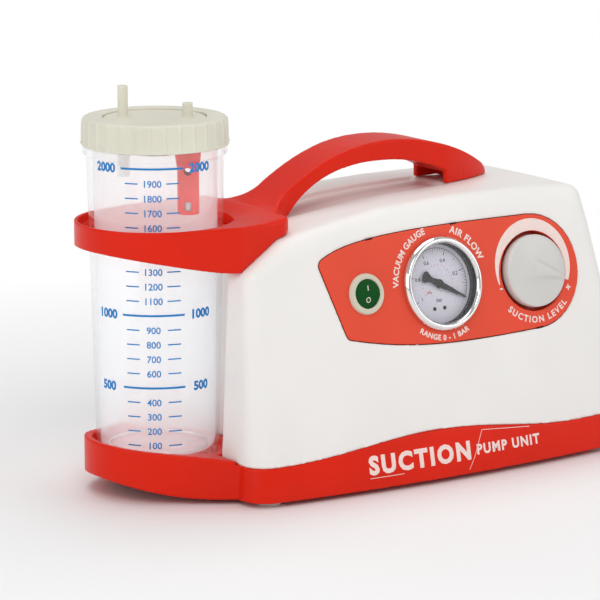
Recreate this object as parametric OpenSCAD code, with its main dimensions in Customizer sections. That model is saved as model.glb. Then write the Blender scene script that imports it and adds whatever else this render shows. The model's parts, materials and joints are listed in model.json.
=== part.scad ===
// Portable suction pump: a tapered housing on a wavy base tray, with an arched
// carry handle that grows out of the jar holder, and a graduated collection jar.
// Frame: origin at floor level under the middle of the footprint, +Z up,
// the control panel faces -Y and the jar stands at the -X end. Millimetres.

/* [Body] */
// Left end of the housing at its foot
body_left = -113; // [-115:1:-111]
// Right end of the housing at its foot
body_right = 176; // [172:1:178]
// Half of the depth at the middle of the foot
half_depth = 90; // [88:1:92]
// How far the front and rear bow out between their corners at the foot
front_bow = 10; // [6:1:12]
// Lean of the front and rear walls from the vertical, in degrees
wall_lean = 12; // [11:0.5:13]
// Wall thickness of the mouldings
wall = 3; // [2.5:0.1:3.2]
// Height of the feet below the tray
foot_height = 3; // [2:0.5:4]

/* [Seam] */
// Height of the seam between tray and housing at its ends
seam_low = 23.5; // [23:0.25:24]
// Rise of the seam's wave in the middle
seam_wave = 8.5; // [8:0.25:8.5]

/* [Jar] */
// Distance of the jar's axis from the origin, along -X
jar_offset = 128.5; // [128:0.5:129.5]
// Outer radius of the jar at its foot
jar_foot_radius = 36; // [35.5:0.25:36.25]
// Outer radius of the jar under its lid
jar_neck_radius = 40; // [39.5:0.25:40]
// Height of the jar's foot above the floor
jar_foot_z = 22; // [21.5:0.25:22.5]
// Height of the jar's shoulder, where the lid ring starts
jar_shoulder_z = 205; // [202:0.5:206]

/* [Controls] */
// Height of the row of controls on the panel
controls_z = 115; // [114:0.5:116]
// Position of the power switch along X
switch_x = -26; // [-27:0.5:-25]
// Position of the vacuum gauge along X
gauge_x = 29; // [28.5:0.5:30]
// Position of the suction knob along X
knob_x = 98; // [97:0.5:99]
// Radius of the suction knob
knob_radius = 22; // [21:0.5:23]
// Outer radius of the gauge's bezel
bezel_radius = 28.2; // [27.8:0.2:29]

/* [Pump] */
// Crank throw, half of the piston's stroke
crank_throw = 2.5; // [2:0.25:2.75]
// Radius of the piston
piston_radius = 16; // [15:0.5:16]

/* [Hidden] */

$fn = 96;
gap = 0.3;            // clearance between neighbouring mouldings
run = 0.05;           // radial running clearance of shafts
skin_gap = 0.1;       // gap left between the housing's skin and what sits on it
lean_tan = tan(wall_lean);
body_mid = (body_left + body_right) / 2;
body_half = (body_right - body_left) / 2;
tray_floor = foot_height + wall;
jar_x = -jar_offset;

// Bezier point and curve through four [x, z] controls
function bezier_at(p, t) =
    pow(1 - t, 3) * p[0] + 3 * t * pow(1 - t, 2) * p[1]
    + 3 * t * t * (1 - t) * p[2] + pow(t, 3) * p[3];
function bezier(p, n = 16) = [for (i = [0:n]) bezier_at(p, i / n)];

// Half depth of the body's middle at height z, with no bow taken off
function half_y(z) = half_depth - lean_tan * (z - foot_height);

// Height of the seam between tray and housing, a cosine wave along X
wave_mid = 12;
wave_half = 110;
function seam_z(x) =
    seam_low + (abs(x - wave_mid) < wave_half ? seam_wave * pow(cos(90 * (x - wave_mid) / wave_half), 2) : 0);

// ---------- placing parts on the leaning front and rear ----------
// Local frames: +Z points out of the wall, X stays along the body.
panel_seat = 1.2;     // depth of the flat seat under the panel, at the middle
panel_thick = 1.8;
front_y = -(half_y(controls_z) - panel_seat);
module on_panel(x = 0, out = 0, up = 0)
    translate([x, front_y, controls_z]) rotate([90 - wall_lean, 0, 0]) translate([0, up, out]) children();

rear_seat = 1.2;
rear_thick = 2;
rear_plate_x = 40;
rear_plate_z = 48;
module on_rear(x = 0, z = rear_plate_z, out = 0)
    translate([x, half_y(z) - rear_seat, z]) rotate([-(90 - wall_lean), 0, 0]) translate([0, 0, out]) children();

module ring(r_out, r_in, h) {
    difference() {
        cylinder(r = r_out, h = h);
        translate([0, 0, -1]) cylinder(r = r_in, h = h + 2);
    }
}

module along_x() rotate([0, 90, 0]) children();
module box(low, high) translate(low) cube(high - low);

// ---------- outlines ----------
// Footprint of the body with bowed long sides and round corners
corner = 16;
module body_outline(inset = 0) {
    steps = 18;
    xs = [for (i = [0:steps]) body_left + (body_right - body_left) * i / steps];
    side = [for (x = xs) [x, -(half_depth - front_bow * pow((x - body_mid) / body_half, 2))]];
    back = [for (i = [steps:-1:0]) [side[i][0], -side[i][1]]];
    offset(r = corner, $fn = 40) offset(delta = -corner - inset) polygon(concat(side, back));
}

// Flared outline of the jar's platform or of the ring above it
module jar_outline(radius, root_x, root_y) {
    hull() {
        translate([jar_x, 0]) circle(r = radius);
        for (s = [-1, 1]) translate([root_x, s * root_y]) circle(r = 2, $fn = 24);
    }
}

// Solid form of the body above its upright foot: hull of the foot's top, the round roof edge and the crown
// Each entry is [x, z of the sphere's centre, its radius]
roof_line = [[-97, 129, 8], [-72, 138, 13], [-36, 143, 14], [0, 147, 15], [50, 149, 15], [105, 149, 15],
             [136, 153, 9.5], [139, 135, 12], [142, 110, 14]];
// The crown along the middle: [x, z of its top]
crown_line = [[-62, 153.5], [-36, 157.6], [0, 162], [26, 163.6], [60, 164.6], [130, 164.6]];
crown_y = 17;
crown_r = 8;
foot_top = 13;
function bow_at(x, z) = front_bow * (1 - (z - foot_height) / 150) * pow((x - body_mid) / body_half, 2);
module body_form(inset = 0) {
    hull() {
        translate([0, 0, foot_top - 1]) linear_extrude(1) body_outline(inset);
        for (p = roof_line, s = [-1, 1])
            translate([p[0], s * (half_y(p[1]) - bow_at(p[0], p[1]) - p[2] / cos(wall_lean)), p[1]])
                sphere(r = p[2] - inset, $fn = 32);
        for (p = crown_line, s = [-1, 1])
            translate([p[0], s * crown_y, p[1] - crown_r]) sphere(r = crown_r - inset, $fn = 24);
    }
}

// Everything above or below the seam, as a slab through the body
module seam_cut(above = true, shift = 0) {
    steps = 48;
    xs = [for (i = [0:steps]) -200 + 400 * i / steps];
    line = [for (x = xs) [x, seam_z(x) + shift]];
    rotate([90, 0, 0]) translate([0, 0, -120]) linear_extrude(240)
        polygon(concat(line, [[200, above ? 260 : -20], [-200, above ? 260 : -20]]));
}

// ---------- base tray ----------
platform_radius = 43.4;
rim_wall = 4.6;
seat_depth = 2;
screw_spots = [[-74, 60], [-74, -60], [150, 48], [150, -48]];
foot_spots = [[-97, 70], [-97, -70], [143, 71], [143, -71]];
screw_head_radius = 4;

module platform_profile() {
    // The platform's rim rises, and its underside lifts, towards the free end
    under = bezier([[-190, 20], [-158, 7.5], [-142, foot_height], [-120, foot_height]], 12);
    rotate([90, 0, 0]) translate([0, 0, -90]) linear_extrude(180)
        polygon(concat(under, [[-60, foot_height], [-60, jar_foot_z + 4], [-113, jar_foot_z + 4],
                               [-190, jar_foot_z + 14]]));
}

// The tray's own form: upright at the foot, then leaning in with the housing
lean_x = -41;         // the two ends lean towards this X
module tray_form(inset = 0, bottom = foot_height) {
    intersection() {
        translate([0, 0, bottom]) linear_extrude(40) body_outline(inset);
        hull() for (z = [2, 42])
            translate([lean_x, 0, z])
                scale([1 - 0.00095 * (z - foot_top), 1 - 0.00245 * (z - foot_top), 1])
                    linear_extrude(0.1) translate([-lean_x, 0]) body_outline(inset);
    }
}

module base_tray() color("firebrick") {
    difference() {
        union() {
            intersection() {
                tray_form();
                seam_cut(false);
            }
            intersection() {
                translate([0, 0, foot_height]) linear_extrude(40)
                    jar_outline(platform_radius, body_left + 6, 63);
                platform_profile();
            }
        }
        // inside of the tray, kept clear of the jar's platform
        difference() {
            tray_form(wall, tray_floor);
            translate([jar_x, 0, 0]) cylinder(r = platform_radius + 2, h = 60);
        }
        // cup and seat for the jar
        translate([jar_x, 0, jar_foot_z + seat_depth]) cylinder(r = platform_radius - rim_wall, h = 40);
        translate([jar_x, 0, jar_foot_z]) cylinder(r = jar_foot_radius + 0.8, h = 40);
        // ledge for the housing's front and rear left corners
        for (s = [-1, 1]) box([body_left - 0.5, s > 0 ? 41 : -80, seam_low - 0.2], [-60, s > 0 ? 80 : -41, 60]);
        // weight saving pocket under the seat
        translate([jar_x, 0, 0]) cylinder(r = 30, h = jar_foot_z - 3);
        for (p = screw_spots) translate([p[0], p[1], 0]) {
            cylinder(r = 2.2, h = 20);
            cylinder(r = screw_head_radius + 0.2, h = foot_height + 1.6);
        }
        for (p = foot_spots) translate([p[0], p[1], 0]) cylinder(r = 3, h = 20);
    }
}

// ---------- housing ----------
recess_radius = 46;
post_radius = 4.5;
inlet_x = -58;
inlet_z = 115;
vent_spots = [for (i = [0:6]) 92 + 7 * i];

module housing_openings() {
    on_panel(gauge_x, -12) cylinder(r = 26, h = 40);
    on_panel(switch_x, -12) cylinder(r = 10.2, h = 40);
    on_panel(knob_x, -12) cylinder(r = well_radius + well_wall + gap, h = 40);
    on_rear(rear_plate_x, rear_plate_z, -12) linear_extrude(40) square([42, 20], center = true);
    on_rear(inlet_x, inlet_z, -12) cylinder(r = 5.2, h = 40);
    for (x = vent_spots) on_rear(x, 62, -14) linear_extrude(40) square([3, 34], center = true);
}

module housing() color("whitesmoke") {
    difference() {
        union() {
            difference() {
                body_form();
                difference() {
                    body_form(wall);
                    translate([jar_x, 0, 0]) cylinder(r = recess_radius + wall, h = 220);
                }
            }
            intersection() {
                body_form(1.5);
                for (p = screw_spots) translate([p[0], p[1], tray_floor + 0.2]) cylinder(r = post_radius, h = 160);
            }
        }
        difference() {
            seam_cut(false, 0.2);
            for (p = screw_spots) translate([p[0], p[1], tray_floor + 0.2]) cylinder(r = post_radius, h = 60);
        }
        translate([0, 0, -1]) linear_extrude(tray_floor + 1.2) square([500, 300], center = true);
        translate([jar_x, 0, -1]) cylinder(r = recess_radius, h = 220);
        for (p = screw_spots) translate([p[0], p[1], 0]) cylinder(r = 1.8, h = 22);
        on_panel() linear_extrude(20) panel_outline(gap);
        on_rear(rear_plate_x) linear_extrude(20) rear_outline(gap);
        housing_openings();
    }
}

// ---------- panels ----------
knob_lobe = 34.4;     // radius of the panel's round end, about the knob
well_radius = 24.2;   // sunk well that the knob turns in
well_depth = 5.5;
well_wall = 1.5;
module panel_outline(grow = 0) {
    top = bezier([[-57, 21], [-40, 33], [0, 35.5], [knob_x, knob_lobe]], 14);
    bottom = bezier([[knob_x, -knob_lobe], [30, -37], [0, -35.5], [-42, -25]], 14);
    round_end = [for (a = [80:-10:-80]) [knob_x + knob_lobe * cos(a), knob_lobe * sin(a)]];
    offset(r = 4 + grow, $fn = 32) offset(delta = -4) polygon(concat(top, round_end, bottom));
}

module control_panel() color("tomato") {
    difference() {
        union() {
            on_panel() linear_extrude(panel_thick) panel_outline();
            on_panel(knob_x, -well_depth - well_wall) cylinder(r = well_radius + well_wall, h = well_depth + well_wall + 0.5);
        }
        on_panel(gauge_x, -1) cylinder(r = 25.8, h = 9);
        on_panel(switch_x, -1) cylinder(r = 10, h = 9);
        on_panel(knob_x, -well_depth) cylinder(r = well_radius, h = 20);
        on_panel(knob_x, -20) cylinder(r = 6, h = 30);
    }
}

module rear_outline(grow = 0)
    offset(r = 3 + grow, $fn = 32) offset(delta = -3) square([56, 30], center = true);

socket_dx = -14;
fuse_dx = 12;
module rear_plate() color("dimgray") {
    difference() {
        on_rear(rear_plate_x) linear_extrude(rear_thick) rear_outline();
        on_rear(rear_plate_x + socket_dx, rear_plate_z, -1) cylinder(r = 5.6, h = 9);
        on_rear(rear_plate_x + fuse_dx, rear_plate_z, -1) cylinder(r = 6.1, h = 9);
    }
}

// ---------- handle with the jar ring ----------
ring_radius = 47.5;
ring_top = 161;
bore_radius = 40.6;
dish_radius = 45.2;
handle_half = 15.5;
leg_half = 17.3;
leg_x = 69;           // left face of the handle's right leg
tip_x = 112.5;
handle_top = concat(
    [[-86, 161]],
    bezier([[-68, 161.2], [-50, 163], [-26, 195.3], [26, 195.3]]),
    bezier([[26, 195.3], [60, 195.3], [88, 182.5], [106, 172.5]]),
    [[110, 169], [tip_x, 163.5]]
);
handle_under = concat(
    bezier([[leg_x, 172.5], [50, 181.5], [34, 183.4], [16, 183.4]]),
    bezier([[16, 183.4], [-10, 183.4], [-34, 174], [-46, 156]])
);

module handle_plan() {
    fan = bezier([[-92, 50.5], [-64, 50], [-65, 20], [-46, handle_half]]);
    tip = bezier([[leg_x, leg_half], [84, 15], [104, 7], [tip_x, 0]]);
    half = concat(fan, tip);
    polygon(concat(half, [for (i = [len(half) - 1:-1:0]) [half[i][0], -half[i][1]]]));
}

module handle_arch() {
    intersection() {
        rotate([90, 0, 0]) translate([0, 0, -80]) linear_extrude(160)
            polygon(concat(handle_top, [[tip_x, 140], [leg_x, 140]], handle_under, [[-60, 130], [-86, 130]]));
        linear_extrude(240) handle_plan();
    }
}

corner_x = -102;      // front and rear corners of the collar, at the body's shoulders
corner_y = 53;
module collar() {
    intersection() {
        linear_extrude(240) union() {
            jar_outline(ring_radius, corner_x - 2, corner_y - 2);
            polygon([[corner_x - 8, corner_y - 1], [corner_x - 1, corner_y], [-71, 49], [-66, 45.5], [-64, 40],
                     [-64, -40], [-66, -45.5], [-71, -49], [corner_x - 1, -corner_y], [corner_x - 8, 1 - corner_y]]);
        }
        rotate([90, 0, 0]) translate([0, 0, -90]) linear_extrude(180)
            polygon(concat(bezier([[-185, 148.5], [-140, 141.5], [-122, 134], [corner_x, 134]], 12),
                           [[-64, 134], [-64, 163], [-86, ring_top], [-185, ring_top]]));
    }
}

module carry_handle() color("red") {
    difference() {
        union() {
            collar();
            handle_arch();
        }
        body_form(-skin_gap);
        translate([jar_x, 0, 100]) cylinder(r = bore_radius, h = 100);
        translate([jar_x, 0, ring_top - 6]) cylinder(r = dish_radius, h = 60);
        // pocket in the leg's inner face
        box([leg_x - 1, 4 - leg_half, 150], [leg_x + 15, leg_half - 4, 171.5]);
    }
}

// ---------- feet and screws ----------
module rubber_feet() color("gray") {
    for (p = foot_spots) translate([p[0], p[1], 0]) {
        cylinder(r1 = 7, r2 = 8, h = foot_height);
        cylinder(r = 2.9, h = tray_floor + 2);
        translate([0, 0, tray_floor]) cylinder(r1 = 4.4, r2 = 2.9, h = 2);
    }
}

module base_screws() color("silver") {
    for (p = screw_spots) translate([p[0], p[1], foot_height]) {
        difference() {
            cylinder(r = screw_head_radius, h = 1.5);
            for (a = [0, 90]) rotate([0, 0, a]) translate([-2.5, -0.5, -1]) cube([5, 1, 1.8]);
        }
        cylinder(r = 1.75, h = 17);
    }
}

// ---------- jar and lid ----------
jar_wall = 2.2;
flange_radius = 42;
mouth_radius = 38.5;  // outer radius of the neck inside the lid ring
jar_top_z = jar_shoulder_z + 9.5;
lid_top_z = jar_shoulder_z + 16.5;
disc_z = jar_top_z + 1.5;
disc_thick = 1.9;
spout_radius = 3;
port_angle = -35;     // the ports stand across the line of sight to the jar's scale
patient_arm = 18.4;
vacuum_arm = 19;

module at_jar(z = 0) translate([jar_x, 0, z]) children();
module at_port(arm) at_jar() rotate([0, 0, port_angle]) translate([arm, 0, 0]) children();

module collection_jar() color("lightcyan", 0.4) {
    at_jar() rotate_extrude() difference() {
        polygon([
            [0, jar_foot_z + 2], [27, jar_foot_z + 2], [29, jar_foot_z], [jar_foot_radius - 3, jar_foot_z],
            [jar_foot_radius, jar_foot_z + 4], [jar_neck_radius, jar_shoulder_z - 6],
            [flange_radius, jar_shoulder_z - 4], [flange_radius, jar_shoulder_z - 0.5],
            [mouth_radius, jar_shoulder_z - 0.5], [mouth_radius, jar_top_z], [0, jar_top_z]
        ]);
        polygon([
            [-1, jar_foot_z + 5], [28, jar_foot_z + 5], [31, jar_foot_z + 3.2],
            [jar_foot_radius - jar_wall - 2, jar_foot_z + 4],
            [jar_foot_radius - jar_wall, jar_foot_z + 7],
            [mouth_radius - jar_wall, jar_shoulder_z - 8], [mouth_radius - jar_wall, jar_top_z + 1],
            [-1, jar_top_z + 1]
        ]);
    }
}

module lid_gasket() color("dimgray")
    at_jar(jar_top_z) ring(mouth_radius - 0.1, mouth_radius - jar_wall, 1.5);

boss_radius = 10.8;
boss_z = 199;
cage_boss_radius = 5.9;
cage_boss_z = 202;
flange_in = 30;       // inner radius of the lid ring's top
module lid_disc() color("ivory") {
    difference() {
        union() {
            at_jar(disc_z) cylinder(r = mouth_radius - 0.1, h = disc_thick);
            at_jar(disc_z) cylinder(r = flange_in - gap, h = lid_top_z - 1 - disc_z);
            at_jar(boss_z) ring(boss_radius, boss_radius - 2, disc_z - boss_z);
            at_port(-patient_arm) translate([0, 0, disc_z]) cylinder(r = spout_radius, h = 23);
            at_port(vacuum_arm) {
                translate([0, 0, disc_z]) cylinder(r = spout_radius, h = 13);
                translate([0, 0, cage_boss_z]) cylinder(r = cage_boss_radius, h = disc_z - cage_boss_z);
            }
        }
        at_port(-patient_arm) translate([0, 0, disc_z - 1]) cylinder(r = 2, h = 40);
        at_port(vacuum_arm) translate([0, 0, cage_boss_z - 1]) cylinder(r = 2, h = 50);
        at_port(-patient_arm) translate([0, 0, disc_z - 1]) cylinder(r = 3.7, h = 2);
    }
}

rib_count = 30;
lid_radius = 42.6;
module lid_ring() color("ivory") {
    difference() {
        at_jar(jar_shoulder_z) cylinder(r = lid_radius, h = lid_top_z - jar_shoulder_z);
        at_jar(jar_shoulder_z - 1) cylinder(r = mouth_radius + gap, h = disc_z + disc_thick + 0.1 - jar_shoulder_z + 1);
        at_jar(0) cylinder(r = flange_in, h = 300);
        for (i = [0:rib_count - 1]) at_jar(jar_shoulder_z - 1) rotate([0, 0, 360 * i / rib_count])
            translate([lid_radius + 0.2, 0, 0]) cylinder(r = 1.1, h = 40, $fn = 24);
    }
}

drop_tube_z = 186;
module patient_drop_tube() color("gainsboro")
    at_port(-patient_arm) translate([0, 0, drop_tube_z]) ring(3.65, 2.4, disc_z + 1 - drop_tube_z);

cage_foot_z = 164;
cage_top_z = 209;
cage_radius = 6.4;
module float_cage() color("orangered") {
    at_port(vacuum_arm) difference() {
        union() {
            translate([0, 0, cage_foot_z]) cylinder(r = cage_radius, h = cage_top_z - cage_foot_z);
            translate([0, 0, 190]) cylinder(r1 = cage_radius, r2 = 7.6, h = 8);
            translate([0, 0, 198]) cylinder(r = 7.6, h = cage_top_z - 198);
        }
        translate([0, 0, cage_foot_z + 1.5]) cylinder(r = cage_radius - 1.3, h = 60);
        translate([0, 0, 198]) cylinder(r = cage_boss_radius + run, h = 60);
        translate([0, 0, cage_foot_z - 1]) cylinder(r = 2.5, h = 5);
        for (a = [0, 180]) rotate([0, 0, a - 90]) {
            translate([0, 0, 189.5]) rotate([0, 90, 0]) cylinder(r = 2.2, h = 12);
            translate([2, -2, 166.5]) cube([12, 4, 5]);
        }
    }
}

float_radius = 4.4;
float_foot_z = 166;
module overflow_float() color("white")
    at_port(vacuum_arm) translate([0, 0, float_foot_z]) cylinder(r = float_radius, h = 14);

module float_seal() color("dimgray")
    at_port(vacuum_arm) translate([0, 0, float_foot_z + 14]) cylinder(r1 = 3.6, r2 = 2.6, h = 2.5);

// ---------- vacuum gauge ----------
glass_out = 4.2;      // height of the glass above the panel's seat
dial_out = -3;
module gauge_case() color("dimgray") {
    on_panel(gauge_x, -32) difference() {
        cylinder(r = 25.4, h = 32 + panel_thick);
        translate([0, 0, 1.5]) cylinder(r = 24.2, h = 60);
        translate([0, 0, -1]) cylinder(r = 6.1, h = 10);
    }
}

module gauge_bezel() color("lightgray") {
    on_panel(gauge_x) difference() {
        union() {
            translate([0, 0, panel_thick]) cylinder(r = bezel_radius, h = 2.2);
            translate([0, 0, panel_thick + 2.2]) cylinder(r1 = bezel_radius, r2 = bezel_radius - 2.4, h = 2.6);
        }
        translate([0, 0, -1]) cylinder(r = 24.4, h = 5);
        translate([0, 0, panel_thick + 2.4]) cylinder(r = 24.4, h = 1.6);
        translate([0, 0, 2]) cylinder(r = 23.8, h = 20);
    }
}

module gauge_lens() color("azure", 0.3)
    on_panel(gauge_x, glass_out - 1.6) cylinder(r = 23.6, h = 1.6);

module gauge_dial() color("white")
    on_panel(gauge_x, dial_out) ring(24, 1.3, 0.6);

pointer_length = 19;
module gauge_pointer() color("black") {
    on_panel(gauge_x, dial_out) rotate([0, 0, -28]) {
        translate([0, 0, -8]) cylinder(r = 1, h = 11.4);
        translate([0, 0, 1.6]) cylinder(r = 2.6, h = 1.2);
        translate([0, 0, 1.8]) linear_extrude(0.6)
            polygon([[-10, -2.6], [-8, -1], [0, -1.2], [pointer_length, -0.25], [pointer_length, 0.25],
                     [0, 1.2], [-8, 1], [-10, 2.6]]);
    }
}

module gauge_bourdon_tube() color("goldenrod") {
    on_panel(gauge_x, -22) rotate_extrude(angle = 260, start = 140) translate([16.5, 0]) square([1.6, 6], center = true);
    on_panel(gauge_x, -29) translate([-14.6, 5.8, 0]) cylinder(r = 2.6, h = 3.8);
}

module gauge_stem() color("goldenrod") {
    on_panel(gauge_x, -60) difference() {
        union() {
            translate([0, 0, 30]) cylinder(r = 9, h = 4, $fn = 6);
            translate([0, 0, 18]) cylinder(r = 7, h = 9.9, $fn = 6);
            translate([0, 0, 4]) cylinder(r = 3, h = 15);
            translate([0, 0, 26]) cylinder(r = 6, h = 5);
        }
        translate([0, 0, 2]) cylinder(r = 1.5, h = 26);
    }
}

// ---------- power switch ----------
switch_out = panel_thick;
rocker_rest = 8;      // tilt of the rocker each way from level
module switch_body() color("lightgray") {
    on_panel(switch_x, switch_out) difference() {
        union() {
            cylinder(r1 = 12.2, r2 = 11.4, h = 2);
            translate([0, 0, -20]) cylinder(r = 9.7, h = 20);
        }
        translate([0, 0, -9]) cylinder(r = 8.8, h = 20);
    }
}

module switch_rocker() color("green") {
    on_panel(switch_x, switch_out) rotate([rocker_rest, 0, 0]) difference() {
        intersection() {
            sphere(r = 8.55);
            translate([0, 0, -5]) cylinder(r = 12, h = 8.2);
        }
        for (s = [-1, 1]) scale([1, s, 1]) rotate([-6, 0, 0]) translate([-15, -1, 2.6]) cube([30, 20, 10]);
    }
}

module switch_terminals() color("gold")
    for (dx = [-5, 0, 5]) on_panel(switch_x + dx, switch_out - 29) translate([-0.4, -2.4, 0]) cube([0.8, 4.8, 8.9]);

// ---------- suction regulator ----------
knob_rest = -18;      // at rest the grip points to the plus mark, full suction
knob_foot = -2.5;     // the knob's foot, below the panel's seat plane
module suction_knob() color("gainsboro") {
    on_panel(knob_x, knob_foot) rotate([0, 0, knob_rest]) difference() {
        union() {
            cylinder(r1 = knob_radius - 0.6, r2 = knob_radius, h = 6);
            translate([0, 0, 6]) cylinder(r1 = knob_radius, r2 = knob_radius - 5, h = 3.5);
            translate([0, 0, 9.5]) cylinder(r1 = knob_radius - 5, r2 = knob_radius - 14, h = 2);
            intersection() {
                translate([0, 0, 6]) cylinder(r = knob_radius - 0.6, h = 9);
                translate([-16, -2.5, 0]) cube([40, 5, 13]);
            }
        }
        translate([0, 0, -1]) cylinder(r = 3 + run, h = 9);
        translate([0, 0, -1]) ring(knob_radius - 3, 5, 6);
    }
}

module regulator_spindle() color("silver")
    on_panel(knob_x, -24) {
        cylinder(r1 = 1, r2 = 3, h = 6);
        translate([0, 0, 6]) cylinder(r = 3, h = 23.3);
    }

neck_radius = 5.8;
module regulator_body() color("goldenrod") {
    on_panel(knob_x, -34) difference() {
        union() {
            cylinder(r = 11, h = 34 - well_depth - well_wall - run);
            cylinder(r = neck_radius, h = 34 + knob_foot - 0.2);
            translate([0, 0, 16]) rotate([90, 0, 0]) cylinder(r = 3, h = 24);
            translate([0, 0, 7.5]) rotate([0, -90, 0]) cylinder(r = 3, h = 22);
        }
        translate([0, 0, 9.5]) cylinder(r = 3 + run, h = 60);
        translate([0, 0, 4]) cylinder(r = 1.9, h = 7);
        translate([0, 0, 16]) rotate([90, 0, 0]) cylinder(r = 1.2, h = 40);
        translate([0, 0, 7.5]) rotate([0, -90, 0]) cylinder(r = 1.2, h = 40);
    }
}

module regulator_nut() color("silver") {
    on_panel(knob_x, -well_depth) difference() {
        cylinder(r = 9, h = 2.4, $fn = 6);
        translate([0, 0, -1]) cylinder(r = neck_radius + run, h = 9);
    }
}

// ---------- pump ----------
axis_y = 22;
axis_z = 48;
motor_start = 22;
motor_end = 84;
module at_axis(x) translate([x, axis_y, axis_z]) along_x() children();
cyl_x = -2;           // position of the cylinder's axis along X
shaft_radius = 2.5;
shaft_start = 4.6;
shaft_end = motor_end + 17;

module motor_can() color("silver") {
    at_axis(motor_start) difference() {
        cylinder(r = 25, h = motor_end - motor_start);
        translate([0, 0, 3]) cylinder(r = 23, h = 100);
        translate([0, 0, -1]) cylinder(r = shaft_radius + run, h = 20);
    }
}

module motor_end_cap() color("dimgray") {
    at_axis(motor_end) difference() {
        union() {
            cylinder(r = 25, h = 3);
            translate([0, 0, 3]) cylinder(r = 8, h = 3);
        }
        translate([0, 0, -1]) cylinder(r = shaft_radius + run, h = 20);
    }
}

module motor_magnets() color("dimgray") {
    for (a = [20, 200]) at_axis(motor_start + 8) rotate([0, 0, a])
        rotate_extrude(angle = 140) translate([18.5, 0]) square([4.4, 46]);
}

module motor_shaft() color("silver")
    at_axis(shaft_start) cylinder(r = shaft_radius, h = shaft_end - shaft_start);

module motor_armature() color("sienna") {
    at_axis(motor_start + 10) difference() {
        cylinder(r = 17.6, h = 42);
        for (a = [0:60:300]) rotate([0, 0, a]) translate([17, 0, -1]) cylinder(r = 2, h = 60, $fn = 24);
        translate([0, 0, -1]) cylinder(r = shaft_radius + 0.01, h = 60);
    }
}

module motor_fan() color("black") {
    at_axis(motor_end + 8) difference() {
        union() {
            cylinder(r = 7, h = 8);
            for (a = [0:45:315]) rotate([0, 0, a]) translate([6, -0.7, 0]) cube([15, 1.4, 8]);
        }
        translate([0, 0, -1]) cylinder(r = shaft_radius + 0.01, h = 20);
    }
}

pin_radius = 3;
module crank_disc() color("silver") {
    at_axis(4) difference() {
        union() {
            cylinder(r = 11, h = 8);
            translate([0, crank_throw, -10]) cylinder(r = pin_radius, h = 11);
        }
        translate([0, 0, 0.5]) cylinder(r = shaft_radius + 0.01, h = 20);
    }
}

case_low = [-18, axis_y - 26, 17];
case_high = [21.5, axis_y + 26, 74];
module crankcase() color("silver") {
    difference() {
        union() {
            box(case_low, case_high);
            box([cyl_x - 24, axis_y - 24, case_high[2] - 6], [cyl_x + 24, axis_y + 24, case_high[2]]);
        }
        for (p = head_spots) translate([cyl_x + p[0], axis_y + p[1], 60]) cylinder(r = 2.1, h = 30);
        box(case_low + [-1, 4, 4], case_high - [4, 4, 8]);
        at_axis(10) cylinder(r = shaft_radius + run, h = 20);
        translate([cyl_x, axis_y, 60]) cylinder(r = piston_radius + crank_throw + 0.4, h = 30);
    }
}

module crankcase_cover() color("gray")
    box([case_low[0] - 3, case_low[1], case_low[2]], [case_low[0] - 0.05, case_high[1], case_high[2] - 6.5]);

rod_x = -6;
piston_z = 84;
module connecting_rod() color("gainsboro") {
    pin_y = axis_y + crank_throw;
    difference() {
        union() {
            translate([rod_x + 1, pin_y, axis_z]) along_x() cylinder(r = 7, h = 8);
            box([rod_x + 1, pin_y - 4, axis_z + 4], [rod_x + 9, pin_y + 4, piston_z]);
            translate([cyl_x, pin_y, piston_z]) cylinder(r = piston_radius - 1, h = 4);
        }
        translate([rod_x - 5, pin_y, axis_z]) along_x() cylinder(r = pin_radius + run, h = 30);
    }
}

module piston_seal() color("tan")
    translate([cyl_x, axis_y + crank_throw, piston_z + 4]) cylinder(r = piston_radius, h = 1.2);

head_z = 100;
module cylinder_sleeve() color("silver")
    translate([cyl_x, axis_y, 74]) ring(piston_radius + crank_throw + 3, piston_radius + crank_throw + 0.4, head_z - 74);

head_spots = [for (sx = [-1, 1], sy = [-1, 1]) [sx * 20, sy * 20]];
module cylinder_head() color("gray") {
    translate([cyl_x, axis_y, head_z]) difference() {
        union() {
            translate([-24, -24, 0]) cube([48, 48, 14]);
            for (sy = [-1, 1]) translate([-24, sy * 10, 8]) rotate([0, -90, 0]) cylinder(r = 3, h = 12);
        }
        for (sy = [-1, 1]) {
            translate([0, sy * 10, 8]) rotate([0, -90, 0]) cylinder(r = 1.5, h = 60);
            translate([0, sy * 10, -1]) cylinder(r = 6, h = 6);
        }
        for (p = head_spots) translate([p[0], p[1], -1]) cylinder(r = 2.1, h = 40);
    }
}

module valve_flaps() color("orange")
    for (sy = [-1, 1]) translate([cyl_x, axis_y + sy * 10, head_z + 3.5]) cylinder(r = 5.6, h = 0.8);

module head_screws() color("silver") {
    for (p = head_spots) translate([cyl_x + p[0], axis_y + p[1], head_z + 14]) {
        cylinder(r = 3.5, h = 3);
        translate([0, 0, -45]) cylinder(r = 1.95, h = 45);
    }
}

mount_spots = [[-12, axis_y - 20], [-12, axis_y + 20], [78, axis_y - 20], [78, axis_y + 20]];
module pump_bracket() color("lightgray") {
    difference() {
        union() {
            box([-18, axis_y - 26, 14], [86, axis_y + 26, 16.8]);
            for (x = [32, 68]) box([x, axis_y - 22, 16], [x + 6, axis_y + 22, axis_z - 14]);
        }
        at_axis(20) cylinder(r = 25.1, h = 80);
        for (p = mount_spots) translate([p[0], p[1], 0]) cylinder(r = 2.5, h = 30);
    }
}

module vibration_mounts() color("black") {
    for (p = mount_spots) translate([p[0], p[1], tray_floor]) {
        cylinder(r = 6, h = 8);
        cylinder(r = 2.4, h = 10.8);
    }
}

// ---------- power ----------
battery_low = [-60, -64, tray_floor];
battery_high = [96, -30, 66];
module battery() color("darkslategray") {
    box(battery_low, battery_high);
    for (x = [70, 82]) box([x, -50, battery_high[2]], [x + 4, -49.2, battery_high[2] + 6]);
}

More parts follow.
